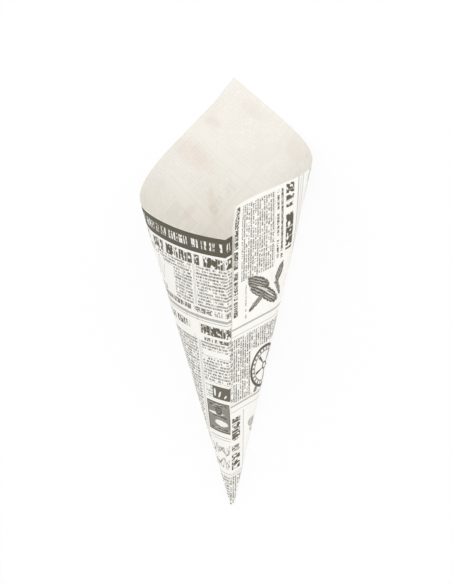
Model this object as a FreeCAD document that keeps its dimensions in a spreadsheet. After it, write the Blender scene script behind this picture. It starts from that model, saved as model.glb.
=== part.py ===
"""Cone paper cup: one sheet of thin paper rolled round a point near its corner, creased twice and lapped.

The sheet is measured flat, in millimetres, from the tip end of its lap edge: u runs up the lap edge and v
runs square across it. Its lap edge is v = 0, its right mouth edge is u = lap edge length and its left mouth
edge is v = sheet breadth. Every ruling of the cone passes through the apex, which lies just off the sheet.
A ruling is named by its angle at the apex, measured on the flat sheet from the u direction. One turn of the
cone takes roll_angle degrees of the sheet, and what is beyond that is the glue flap under the lap.
The finished cup lies on the flat part of its back, with its tip towards -Y and its mouth towards +Y.
"""
import FreeCAD, Part
import math
import os

SIZES = [
    ("lap_edge_length", 295.0, "mm, free edge of the lap, from the tip to the front corner of the mouth"),
    ("sheet_breadth", 275.6, "mm, from the lap edge square across the sheet to the left mouth edge"),
    ("apex_before_tip", 5.0, "mm, from the cut end of the lap edge down to the apex, along the lap edge"),
    ("apex_beside_lap", 3.4, "mm, from the lap edge to the apex, square to the lap edge"),
    ("tip_opening_reach", 6.0, "mm, from the apex to the edge of the small opening at the tip"),
    ("roll_angle", 95.0, "degrees of the flat sheet in one turn of the cone"),
    ("crease_spread", 34.9, "degrees at the apex between the front ridge and the back crease"),
    ("ridge_to_lap", 2.6, "degrees from the front ridge to the ruling along the lap edge"),
    ("glue_flap", 3.0, "degrees of the sheet tucked under the lap, past the ruling along the lap edge"),
    ("right_front_flat", 18.2, "degrees of flat panel right of the front ridge"),
    ("right_back_flat", 9.0, "degrees of flat panel right of the back crease"),
    ("left_back_flat", 6.8, "degrees of flat panel left of the back crease"),
    ("left_front_bow", 19.5, "degrees of gently bowed panel left of the front ridge"),
    ("left_front_bend", 1.75, "bend of the bowed panel: the cotangent of the half angle of its round cone"),
    ("paper_thickness", 0.3, "mm, stands in for the much thinner real sheet"),
]

CURVE_SPANS = 8
BISECTIONS = 60
FLATNESS = 1e-6
CUT_PAST = 1.0
CUT_ASIDE = 0.5
WIDEST_TURN = 170.0
FIRST_FRAME = (FreeCAD.Vector(1, 0, 0), FreeCAD.Vector(0, 1, 0))

doc = FreeCAD.newDocument("cone_cup")
sheet = doc.addObject("Spreadsheet::Sheet", "Sizes")
for row, (alias, value, meaning) in enumerate(SIZES, start=1):
    sheet.set(f"A{row}", alias)
    sheet.set(f"B{row}", str(value))
    sheet.set(f"C{row}", meaning)
    sheet.setAlias(f"B{row}", alias)
doc.recompute()


def size(alias):
    """A driving dimension, read from the sheet."""
    return float(sheet.get(alias))


def inward(frame):
    """The wall's inward normal at a frame, which is a ruling direction and the direction across it."""
    along, across = frame
    return along.cross(across)


def walk(frame, bend, angle):
    """Carry a frame across the sheet by an angle at the apex, on a round cone of the given bend."""
    axis = inward(frame) + frame[0] * bend
    turn = FreeCAD.Rotation(axis, angle * math.sqrt(1 + bend * bend))
    return turn.multVec(frame[0]), turn.multVec(frame[1])


def walk_all(frame, strips):
    """Carry a frame across several strips, each an angle and a bend."""
    for angle, bend in strips:
        frame = walk(frame, bend, angle)
    return frame


def angle_between(first, second):
    return math.degrees(first.getAngle(second))


def corner_bend(corner_angle, other_strips):
    """The bend of a rounded corner that brings the two creases of one side crease_spread apart."""
    slack, tight = 0.0, WIDEST_TURN / corner_angle
    before, after = other_strips
    for _ in range(BISECTIONS):
        middle = (slack + tight) / 2
        end = walk_all(FIRST_FRAME, [before, (corner_angle, middle), after])
        if angle_between(FIRST_FRAME[0], end[0]) > size("crease_spread"):
            slack = middle
        else:
            tight = middle
    return (slack + tight) / 2


def crease(frame, strips, target):
    """Turn a frame about its ruling so that the strips that follow it end at the target ruling."""
    along, across = frame
    reached = walk_all(frame, strips)[0]
    wanted = along.cross(target)
    found = along.cross(reached)
    turn_angle = math.degrees(math.atan2(found.cross(wanted).dot(along), found.dot(wanted)))
    return along, FreeCAD.Rotation(along, turn_angle).multVec(across)


def build_panels():
    """The panels of one turn, from the front ridge round the right, the back and the left.

    Each is (name, first angle, last angle, bend, frame at its first ruling).
    """
    half_turn = size("roll_angle") / 2
    right_front = (size("right_front_flat"), 0.0)
    right_back = (size("right_back_flat"), 0.0)
    left_back = (size("left_back_flat"), 0.0)
    left_front = (size("left_front_bow"), size("left_front_bend"))
    right_corner_angle = half_turn - right_front[0] - right_back[0]
    left_corner_angle = half_turn - left_back[0] - left_front[0]
    right_corner = (right_corner_angle, corner_bend(right_corner_angle, (right_front, right_back)))
    left_corner = (left_corner_angle, corner_bend(left_corner_angle, (left_back, left_front)))
    sides = [
        [("right_front", right_front), ("right_corner", right_corner), ("right_back", right_back)],
        [("left_back", left_back), ("left_corner", left_corner), ("left_front", left_front)],
    ]
    panels = []
    frame = FIRST_FRAME
    angle = -size("ridge_to_lap")
    for side in sides:
        if panels:
            frame = crease(frame, [strip for _, strip in side], FIRST_FRAME[0])
        for name, (spread, bend) in side:
            panels.append((name, angle, angle + spread, bend, frame))
            frame = walk(frame, bend, spread)
            angle += spread
    return panels


PANELS = build_panels()
ROUND_PANELS = ("right_corner", "left_corner")
RIDGE_ANGLE = PANELS[-1][2]
FLAP_END = size("roll_angle") + size("glue_flap")
WALL = size("paper_thickness")
TIP_REACH = size("tip_opening_reach")
RIGHT_REACH = size("lap_edge_length") + size("apex_before_tip")
LEFT_REACH = size("sheet_breadth") - size("apex_beside_lap")
CORNER_ANGLE = math.degrees(math.atan2(LEFT_REACH, RIGHT_REACH))


def mouth_reach(angle, beside=None):
    """From the apex to the mouth along a ruling, on the edge that crosses it or crosses the one beside it."""
    if (angle if beside is None else beside) < CORNER_ANGLE:
        return RIGHT_REACH / math.cos(math.radians(angle))
    return LEFT_REACH / math.sin(math.radians(angle))


def split_at_corner(first, last):
    """The stretches between two rulings that lie each side of the mouth's tall corner."""
    if first < CORNER_ANGLE < last:
        return [(first, CORNER_ANGLE), (CORNER_ANGLE, last)]
    return [(first, last)]


def settle(angle):
    """How far the sheet has sunk below the outer skin, so that its flap passes under its own lap."""
    _, first, last, _, _ = PANELS[-1]
    share = (angle - first) / (last - first)
    return WALL * min(max(share, 0.0), 1.0)


def mitre_shift(frame, neighbour):
    """How far a point moves across its panel for each unit of depth, to meet the neighbour at a crease."""
    mitre = (inward(frame) + inward(neighbour)) / (1 + inward(frame).dot(inward(neighbour)))
    return mitre.dot(frame[1])


def panel_ends(index):
    """The mitre shifts at the first and the last ruling of a panel."""
    _, first, last, bend, frame = PANELS[index]
    _, before_first, before_last, before_bend, before_frame = PANELS[index - 1]
    after_frame = PANELS[(index + 1) % len(PANELS)][4]
    end_frame = walk(frame, bend, last - first)
    frame_before = walk(before_frame, before_bend, before_last - before_first)
    return mitre_shift(frame, frame_before), mitre_shift(end_frame, after_frame)


def smooth_edge(points, stops):
    """A smooth edge through points, with a rising number for each, or a straight one through two points."""
    if len(points) == 2:
        return Part.makeLine(points[0], points[1])
    curve = Part.BSplineCurve()
    curve.interpolate(Points=points, Parameters=stops)
    return curve.toShape()


def flat_face(corners):
    """The flat face inside a closed line of corners."""
    return Part.Face(Part.makePolygon(corners + corners[:1]))


def skin(first_edge, second_edge):
    """The ruled face between two edges, flat where both are straight and their ends lie in one plane."""
    corners = [vertex.Point for vertex in first_edge.Vertexes]
    corners += [vertex.Point for vertex in reversed(second_edge.Vertexes)]
    straight = first_edge.Curve.TypeId == second_edge.Curve.TypeId == "Part::GeomLine"
    normal = (corners[1] - corners[0]).cross(corners[3] - corners[0]).normalize()
    if straight and abs(corners[2].distanceToPlane(corners[0], normal)) < FLATNESS:
        return flat_face(corners)
    return Part.makeRuledSurface(first_edge, second_edge)


def solid_between(near_outer, near_inner, far_outer, far_inner):
    """The solid with four edges along it: outer and inner at its near end, outer and inner at its far end."""
    faces = [
        skin(near_outer, far_outer),
        skin(near_inner, far_inner),
        skin(near_outer, near_inner),
        skin(far_outer, far_inner),
    ]
    for end in (0, -1):
        faces.append(flat_face([
            near_outer.Vertexes[end].Point,
            far_outer.Vertexes[end].Point,
            far_inner.Vertexes[end].Point,
            near_inner.Vertexes[end].Point,
        ]))
    shell = Part.Shell(faces)
    shell.sewShape()
    solid = Part.Solid(shell)
    if solid.Volume < 0:
        solid.reverse()
    return solid


def wall_block(index, first, last, lead=0.0):
    """The wall of a flat or bowed panel between two rulings, as a solid with mitred sides.

    lead is the sheet angle of whole turns already rolled, so that a flap lies on the panel of the lap.
    """
    _, panel_first, panel_last, bend, frame = PANELS[index]
    shift_first, shift_last = panel_ends(index)
    spans = 1 if bend == 0 else CURVE_SPANS
    angles = [first + (last - first) * number / spans for number in range(spans + 1)]
    middle = (first + last) / 2
    edges = []
    for rim in ("tip", "mouth"):
        for layer in (0, 1):
            points = []
            for angle in angles:
                along, across = walk(frame, bend, angle - lead - panel_first)
                share = (angle - lead - panel_first) / (panel_last - panel_first)
                shift = shift_first + (shift_last - shift_first) * share
                depth = settle(angle) + layer * WALL
                reach = TIP_REACH if rim == "tip" else mouth_reach(angle, middle)
                points.append(along * reach + (inward((along, across)) + across * shift) * depth)
            edges.append(smooth_edge(points, angles))
    return solid_between(*edges)


def add_blocks(index, first, last, lead=0.0):
    """One document object for each block of a panel, which is split at the tall corner of the mouth."""
    name = PANELS[index][0] if lead == 0 else "glue_flap"
    blocks = []
    for number, (block_first, block_last) in enumerate(split_at_corner(first, last), start=1):
        block = doc.addObject("Part::Feature", name)
        block.Label = f"{name}_{number}"
        block.Shape = wall_block(index, block_first, block_last, lead)
        blocks.append(block)
    return blocks


def mouth_tool(index, first, last, far_reach):
    """What lies past one mouth edge of a round panel, from a little before the stretch to a little after."""
    _, panel_first, _, bend, frame = PANELS[index]
    angles = [first + (last - first) * number / CURVE_SPANS for number in range(CURVE_SPANS + 1)]
    angles = [first - CUT_ASIDE, *angles, last + CUT_ASIDE]
    middle = (first + last) / 2
    edges = []
    for past_mouth in (False, True):
        for depth in (-CUT_PAST, WALL + CUT_PAST):
            points = []
            for angle in angles:
                here = walk(frame, bend, angle - panel_first)
                reach = far_reach if past_mouth else mouth_reach(angle, middle)
                points.append(here[0] * reach + inward(here) * depth)
            edges.append(smooth_edge(points, angles))
    return solid_between(*edges)


def add_round(index):
    """A rounded panel: a stretch of a round cone, cut off at the mouth edges that cross it."""
    name, first, last, bend, frame = PANELS[index]
    stretches = split_at_corner(first, last)
    blank_reach = max(mouth_reach(angle, sum(ends) / 2) for ends in stretches for angle in ends) + CUT_PAST
    depth = inward(frame) * WALL
    corners = [
        frame[0] * TIP_REACH,
        frame[0] * blank_reach,
        frame[0] * blank_reach + depth,
        frame[0] * TIP_REACH + depth,
    ]
    outline = doc.addObject("Part::Feature", f"{name}_outline")
    outline.Shape = Part.makePolygon(corners + corners[:1])
    piece = doc.addObject("Part::Revolution", f"{name}_blank")
    piece.Source = outline
    piece.Axis = inward(frame) + frame[0] * bend
    piece.Base = FreeCAD.Vector()
    piece.Angle = (last - first) * math.sqrt(1 + bend * bend)
    piece.Solid = True
    for ends in stretches:
        tool = doc.addObject("Part::Feature", f"{name}_mouth_tool")
        tool.Shape = mouth_tool(index, *ends, blank_reach + CUT_PAST)
        cut = doc.addObject("Part::Cut", name)
        cut.Base = piece
        cut.Tool = tool
        piece = cut
    return piece


def add_lap():
    """The flat panel right of the ridge, whose free edge lies on top of the sheet's other end."""
    _, first, last, _, frame = PANELS[0]
    along, across = frame
    apex_v = size("apex_beside_lap")

    def on_panel(distance, angle):
        turned = math.radians(angle - first)
        return (along * math.cos(turned) + across * math.sin(turned)) * distance

    corners = [
        on_panel(TIP_REACH, first),
        on_panel(apex_v / math.sin(math.radians(-first)), first),
        on_panel(math.hypot(RIGHT_REACH, apex_v), math.degrees(math.atan2(-apex_v, RIGHT_REACH))),
        on_panel(mouth_reach(last), last),
        on_panel(TIP_REACH, last),
    ]
    outline = doc.addObject("Part::Feature", "lap_outline")
    outline.Shape = Part.makePolygon(corners + corners[:1])
    plate = doc.addObject("Part::Extrusion", "right_front_lap")
    plate.Base = outline
    plate.DirMode = "Custom"
    plate.Dir = inward(frame)
    plate.setExpression("LengthFwd", "Sizes.paper_thickness")
    plate.Solid = True
    return plate


def lying_placement(cup_shape):
    """Lay the cup on its right back flat, tip towards -Y, with the middle of its base box at the origin."""
    _, _, _, _, rest_frame = PANELS[2]
    middle = FIRST_FRAME[0] + PANELS[3][4][0]
    upward = inward(rest_frame)
    forward = middle - upward * middle.dot(upward)
    forward.normalize()
    sideways = forward.cross(upward)
    rotation = FreeCAD.Rotation(sideways, forward, upward, "ZYX").inverted()
    turned = cup_shape.copy()
    turned.Placement = FreeCAD.Placement(FreeCAD.Vector(), rotation)
    box = turned.optimalBoundingBox(False, False)
    shift = FreeCAD.Vector(-box.Center.x, -box.Center.y, -box.ZMin)
    return FreeCAD.Placement(shift, rotation)


pieces = [add_lap()]
for panel_index in range(1, len(PANELS)):
    if PANELS[panel_index][0] in ROUND_PANELS:
        pieces.append(add_round(panel_index))
    else:
        pieces += add_blocks(panel_index, PANELS[panel_index][1], PANELS[panel_index][2])
pieces += add_blocks(0, RIDGE_ANGLE, FLAP_END, lead=size("roll_angle"))
doc.recompute()

cup = doc.addObject("Part::MultiFuse", "paper_cone")
cup.Label = "paper_cone"
cup.Shapes = pieces
cup.Refine = True
doc.recompute()
cup.Placement = lying_placement(cup.Shape)
doc.recompute()

for item in doc.Objects:
    if "Invalid" in item.State or "Error" in item.State:
        raise RuntimeError(f"{item.Label} did not build: {item.State}")
if cup.Shape.isNull() or not cup.Shape.isValid() or len(cup.Shape.Solids) != 1:
    raise RuntimeError("paper_cone is not one valid solid")

os.makedirs("parts", exist_ok=True)
cup.Shape.exportStep(f"parts/{cup.Label}.step")
box = cup.Shape.optimalBoundingBox(False, False)
print(f"{cup.Label}: {cup.Shape.Volume:.1f} mm3, {cup.Shape.Area / 2:.0f} mm2 a side")
print(f"box {box.XMin:.3f} {box.YMin:.3f} {box.ZMin:.3f} to {box.XMax:.3f} {box.YMax:.3f} {box.ZMax:.3f}")
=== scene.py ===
"""Looks for the cone paper cup: one printed sheet, rolled round a point near its corner, creased and lapped.

The sheet is drawn flat, in metres: u runs up the lap edge, v runs square across it, and its printed side is
down. A geometry node tree then rolls it into the cup that lies on its back, tip towards -Y.
"""
import math

import bpy
import numpy as np
from mathutils import Euler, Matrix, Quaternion, Vector


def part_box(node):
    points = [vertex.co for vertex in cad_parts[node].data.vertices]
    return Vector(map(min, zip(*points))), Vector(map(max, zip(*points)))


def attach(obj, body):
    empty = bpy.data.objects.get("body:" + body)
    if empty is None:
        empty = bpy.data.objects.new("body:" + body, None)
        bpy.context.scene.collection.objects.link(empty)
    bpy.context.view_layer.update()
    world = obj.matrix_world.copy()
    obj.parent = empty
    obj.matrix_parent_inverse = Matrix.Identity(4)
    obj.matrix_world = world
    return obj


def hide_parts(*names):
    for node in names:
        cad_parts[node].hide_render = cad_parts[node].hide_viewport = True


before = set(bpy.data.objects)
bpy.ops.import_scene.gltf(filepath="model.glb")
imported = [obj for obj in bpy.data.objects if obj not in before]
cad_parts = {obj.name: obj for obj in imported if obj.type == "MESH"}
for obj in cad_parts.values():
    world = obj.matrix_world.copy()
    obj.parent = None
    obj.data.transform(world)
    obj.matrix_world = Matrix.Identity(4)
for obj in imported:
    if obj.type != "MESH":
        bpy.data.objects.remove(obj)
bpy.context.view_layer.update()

bl_info = {
    "name": "Cone Paper Cup",
    "version": (1, 0, 0),
    "blender": (4, 5, 0),
    "location": "View3D > Sidebar > Cone Cup",
    "description": "Rolls a printed paper sheet into a cone cup, and sets a pale studio round it",
    "category": "Object",
}

CONE_NODE = "paper_cone"
PIECE_NAME = "printed_sheet"
MM = 0.001

BISECTIONS = 60
COLUMN_STEP = math.radians(0.75)
ROWS = 56
CREASE_WIDTH = math.radians(0.01)
SHARP_ANGLE = math.radians(25)
MOST_ROLLED = math.radians(170)
PRINTED, PLAIN, CUT = range(3)

# Sharpness of an edge of ink, per millimetre, and what carries the noise on from row to row and size to size.
INK_EDGE = 5.0
ROW_SEED = 7.31
PITCH_SEED = 3.17
HEAD_LEAN = 2.5

# Soft patches of the plain side, in millimetres of the flat sheet: from, to, width and strength.
PATCHES = (
    ((213, 234), (208, 276), 21, 1.0), ((160, 221), (178, 222), 9, 0.8), ((181, 198), (201, 224), 9, 0.9),
    ((283, 224), (284, 253), 13, 0.7), ((276, 158), (284, 191), 14, 0.5), ((246, 271), (253, 255), 8, 0.7))

# Lamps that shine into the mouth, in metres and watts: name, place, size and power.
LAMPS = (("left_lamp", (-0.9, 1.0, 1.8), 1.6, 6.0), ("right_lamp", (1.5, 0.7, 1.7), 1.8, 11.0))
SENSOR_WIDTH = 36.0


def length(name, description, default):
    return bpy.props.FloatProperty(
        name=name, description=description, default=default, unit="LENGTH", precision=5)


def angle(name, description, degrees):
    return bpy.props.FloatProperty(
        name=name, description=description, default=math.radians(degrees), subtype="ANGLE")


def share(name, description, default):
    return bpy.props.FloatProperty(
        name=name, description=description, default=default, min=0.0, max=1.0, subtype="FACTOR")


def colour(name, description, default):
    return bpy.props.FloatVectorProperty(
        name=name, description=description, default=default, size=3, min=0.0, max=1.0, subtype="COLOR")


class ConeCupSheet(bpy.types.PropertyGroup):
    """The flat sheet and how it is rolled."""
    lap_edge: length("Lap Edge", "Free edge of the lap, from the tip to the front corner", 0.295)
    breadth: length("Breadth", "From the lap edge square across to the left mouth edge", 0.2756)
    apex_before: length("Apex Before Tip", "From the cut end of the lap edge down to the apex", 0.005)
    apex_beside: length("Apex Beside Lap", "From the lap edge to the apex, square to the lap edge", 0.0034)
    tip_reach: length("Tip Opening", "From the apex to the edge of the small opening at the tip", 0.006)
    wall: length("Wall", "Thickness of the sheet", 0.0003)
    layer_gap: length("Layer Gap", "Room left between the lap and the flap under it", 0.00002)
    roll: angle("Roll", "Part of the flat sheet in one turn of the cone", 95.0)
    crease_spread: angle("Crease Spread", "At the apex between the front ridge and the back crease", 34.9)
    ridge_to_lap: angle("Ridge to Lap", "From the front ridge to the ruling along the lap edge", 2.6)
    glue_flap: angle("Glue Flap", "Part of the sheet tucked under the lap", 3.0)
    right_front: angle("Right Front", "Flat panel right of the front ridge", 18.2)
    right_back: angle("Right Back", "Flat panel right of the back crease", 9.0)
    left_back: angle("Left Back", "Flat panel left of the back crease", 6.8)
    left_front: angle("Left Front", "Gently bowed panel left of the front ridge", 19.5)
    left_front_bend: bpy.props.FloatProperty(
        name="Left Front Bend", description="Cotangent of the half angle of its round cone", default=1.75)
    ripple: length("Ripple", "How far the paper dips inwards in soft waves near the mouth", 0.0009)
    ripple_size: length("Ripple Size", "Distance from wave to wave", 0.07)
    corner_curl: length("Corner Curl", "How far the free corner of the lap curls out", 0.004)
    curl_reach: length("Curl Reach", "How far from the free corner the curl begins", 0.034)


class ConeCupPaper(bpy.types.PropertyGroup):
    """Colours and finish of the paper and its ink."""
    outside: colour("Outside", "Paper on the printed side", (0.935, 0.922, 0.875))
    inside: colour("Inside", "Paper on the unprinted side", (0.861, 0.832, 0.777))
    ink: colour("Ink", "Printing ink in a solid area", (0.112, 0.098, 0.069))
    roughness: share("Roughness", "Of the paper", 0.62)
    show_through: share("Show Through", "How much of the print is seen from the inside", 0.08)
    stain: colour("Stain", "Tint of the soft patches on the plain side", (0.93, 0.87, 0.84))
    stain_strength: share("Stain Strength", "How strongly the soft patches are tinted", 0.6)
    grain: length("Grain", "Height of the paper's fibres", 0.00003)


class ConeCupStage(bpy.types.PropertyGroup):
    """Camera, floor and lamps."""
    camera_place: bpy.props.FloatVectorProperty(
        name="Camera Place", description="Where the camera stands", default=(0.53312, -0.12213, 1.26011),
        size=3, subtype="TRANSLATION", unit="LENGTH")
    camera_turn: bpy.props.FloatVectorProperty(
        name="Camera Turn", description="How the camera is turned",
        default=(math.radians(6.829), math.radians(23.143), math.radians(4.887)), size=3, subtype="EULER")
    lens: bpy.props.FloatProperty(
        name="Lens", description="Focal length, in millimetres, on a 36 mm sensor", default=91.34)
    floor_size: length("Floor Size", "Side of the square floor", 12.0)
    floor_colour: colour("Floor", "Floor and backdrop", (0.9, 0.9, 0.9))
    floor_whiteness: share("Floor Whiteness", "How far the floor is seen as plain white", 0.9)
    room_light: bpy.props.FloatProperty(
        name="Room Light", description="Brightness of the even light all round", default=0.9, min=0.0)


PROPERTY_GROUPS = (ConeCupSheet, ConeCupPaper, ConeCupStage)


def inward(face):
    """The wall's inward normal, from a ruling and the direction across it."""
    return face[0].cross(face[1])


def walk(face, bend, turned):
    """Carry a ruling and its across direction over the sheet, on a round cone of the given bend."""
    turn = Quaternion(inward(face) + face[0] * bend, turned * math.sqrt(1 + bend * bend))
    return turn @ face[0], turn @ face[1]


def walk_all(face, strips):
    for spread, bend in strips:
        face = walk(face, bend, spread)
    return face


def corner_bend(corner, before, after, crease_spread):
    """The bend of a rounded corner that brings a side's two creases crease_spread apart."""
    start = (Vector((1, 0, 0)), Vector((0, 1, 0)))
    slack, tight = 0.0, MOST_ROLLED / corner
    for _ in range(BISECTIONS):
        middle = (slack + tight) / 2
        end = walk_all(start, [before, (corner, middle), after])
        if start[0].angle(end[0]) > crease_spread:
            slack = middle
        else:
            tight = middle
    return (slack + tight) / 2


def crease_turn(face, strips, target):
    """How far a fold along the ruling turns, so that the strips after it end at the target ruling."""
    along = face[0]
    wanted = along.cross(target)
    found = along.cross(walk_all(face, strips)[0])
    return math.atan2(found.cross(wanted).dot(along), found.dot(wanted))


class RolledCup:
    """The rolled cup's panels and folds, worked out from the sizes of the sheet."""

    def __init__(self, sizes):
        self.sizes = sizes
        half = sizes.roll / 2
        right = [(sizes.right_front, 0.0), None, (sizes.right_back, 0.0)]
        left = [(sizes.left_back, 0.0), None, (sizes.left_front, sizes.left_front_bend)]
        for side in (right, left):
            corner = half - side[0][0] - side[2][0]
            side[1] = (corner, corner_bend(corner, side[0], side[2], sizes.crease_spread))
        front = Vector((1, 0, 0))
        first = (front, Vector((0, 1, 0)))
        at_back = walk_all(first, right)
        self.back_turn = crease_turn(at_back, left, front)
        after_back = self.fold(at_back, self.back_turn)
        left_front_start = walk_all(after_back, left[:2])
        at_front = walk_all(left_front_start, left[2:])
        turned = at_front[1].cross(first[1]).dot(front)
        self.ridge_turn = math.atan2(turned, at_front[1].dot(first[1]))
        self.start = left_front_start
        self.panels = [left[2], *right, *left, (sizes.glue_flap + sizes.ridge_to_lap, 0.0)]
        self.tail_start = -sizes.ridge_to_lap - sizes.left_front
        self.right_reach = sizes.lap_edge + sizes.apex_before
        self.left_reach = sizes.breadth - sizes.apex_beside
        self.tall_corner = math.atan2(self.left_reach, self.right_reach)
        self.free_corner = math.atan2(-sizes.apex_beside, self.right_reach)
        self.lie_down(first, right, at_back[0])

    @staticmethod
    def fold(face, turned):
        return face[0], Quaternion(face[0], turned) @ face[1]

    def lie_down(self, first, right, back_ruling):
        """Turn the start so that the right back panel is down, and the middle of the cup points to +Y."""
        up = inward(walk_all(first, right[:2]))
        middle = first[0] + back_ruling
        forward = (middle - up * middle.dot(up)).normalized()
        sideways = forward.cross(up)
        self.start = tuple(
            Vector((side.dot(sideways), side.dot(forward), side.dot(up))) for side in self.start)

    def place(self, sheet_angle, reach):
        """A point of the rolled sheet, with the apex at the origin."""
        face, at = self.start, self.tail_start
        folds = {1: self.ridge_turn, 4: self.back_turn, 7: self.ridge_turn}
        for number, (spread, bend) in enumerate(self.panels):
            if number in folds and sheet_angle > at:
                face = self.fold(face, folds[number])
            face = walk(face, bend, min(max(sheet_angle - at, 0.0), spread))
            at += spread
        return face[0] * reach

    def edge_reach(self, sheet_angle):
        """From the apex to the far edge of the sheet along a ruling: the lap edge or a mouth edge."""
        if sheet_angle < self.free_corner:
            return self.sizes.apex_beside / math.sin(-sheet_angle)
        if sheet_angle < self.tall_corner:
            return self.right_reach / math.cos(sheet_angle)
        return self.left_reach / math.sin(sheet_angle)

    def columns(self):
        """The rulings of the sheet's mesh, with one on each fold, panel edge and corner."""
        stops = {self.free_corner, self.tall_corner}
        at = self.tail_start
        for spread, _ in self.panels:
            stops.add(at)
            at += spread
        stops = sorted(stops | {at})
        columns = [stops[0]]
        for first, last in zip(stops, stops[1:]):
            count = max(1, math.ceil((last - first) / COLUMN_STEP))
            columns += [first + (last - first) * number / count for number in range(1, count + 1)]
        return columns

    def apex(self):
        """Where the apex goes, so that the cup fills the box of the solid it stands for."""
        columns = self.columns()
        far = [self.place(column, self.edge_reach(column)) for column in columns]
        left, right = min(point.x for point in far), max(point.x for point in far)
        tip = min(self.place(column, self.sizes.tip_reach).y for column in columns)
        mouth = max(point.y for point in far)
        low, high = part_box(CONE_NODE)
        centre = (low + high) / 2
        return Vector((centre.x - (left + right) / 2, centre.y - (tip + mouth) / 2, low.z))


def flat_sheet(cup):
    """The flat sheet as a thin closed mesh: printed side down, with its flat place as its UV map."""
    sizes = cup.sizes
    columns = cup.columns()
    thickness = sizes.wall - sizes.layer_gap
    points, faces, sides = [], [], []
    for height in (0.0, thickness):
        for column in columns:
            far = cup.edge_reach(column)
            for row in range(ROWS + 1):
                reach = sizes.tip_reach + (far - sizes.tip_reach) * row / ROWS
                points.append((
                    reach * math.cos(column) - sizes.apex_before,
                    reach * math.sin(column) + sizes.apex_beside,
                    height))
    layer = len(columns) * (ROWS + 1)

    def at(column, row, inner=False):
        return column * (ROWS + 1) + row + (layer if inner else 0)

    for column in range(len(columns) - 1):
        for row in range(ROWS):
            corners = [(column, row), (column, row + 1), (column + 1, row + 1), (column + 1, row)]
            faces.append([at(*corner) for corner in reversed(corners)])
            sides.append(PRINTED)
            faces.append([at(*corner, inner=True) for corner in corners])
            sides.append(PLAIN)
        for row, tip in ((0, True), (ROWS, False)):
            rim = [at(column, row), at(column + 1, row), at(column + 1, row, True), at(column, row, True)]
            faces.append(rim[::-1] if tip else rim)
            sides.append(CUT)
    for row in range(ROWS):
        for column, last in ((0, False), (len(columns) - 1, True)):
            rim = [at(column, row), at(column, row + 1), at(column, row + 1, True), at(column, row, True)]
            faces.append(rim[::-1] if last else rim)
            sides.append(CUT)
    mesh = bpy.data.meshes.new("flat_sheet")
    mesh.from_pydata(points, [], faces)
    mesh.attributes.new("sheet_side", "INT", "FACE").data.foreach_set("value", sides)
    flat_place = mesh.uv_layers.new(name="flat_place")
    corner_points = np.array(points)[[loop.vertex_index for loop in mesh.loops], :2]
    flat_place.data.foreach_set("uv", corner_points.astype(np.float32).ravel())
    mesh.update()
    return mesh


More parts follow.
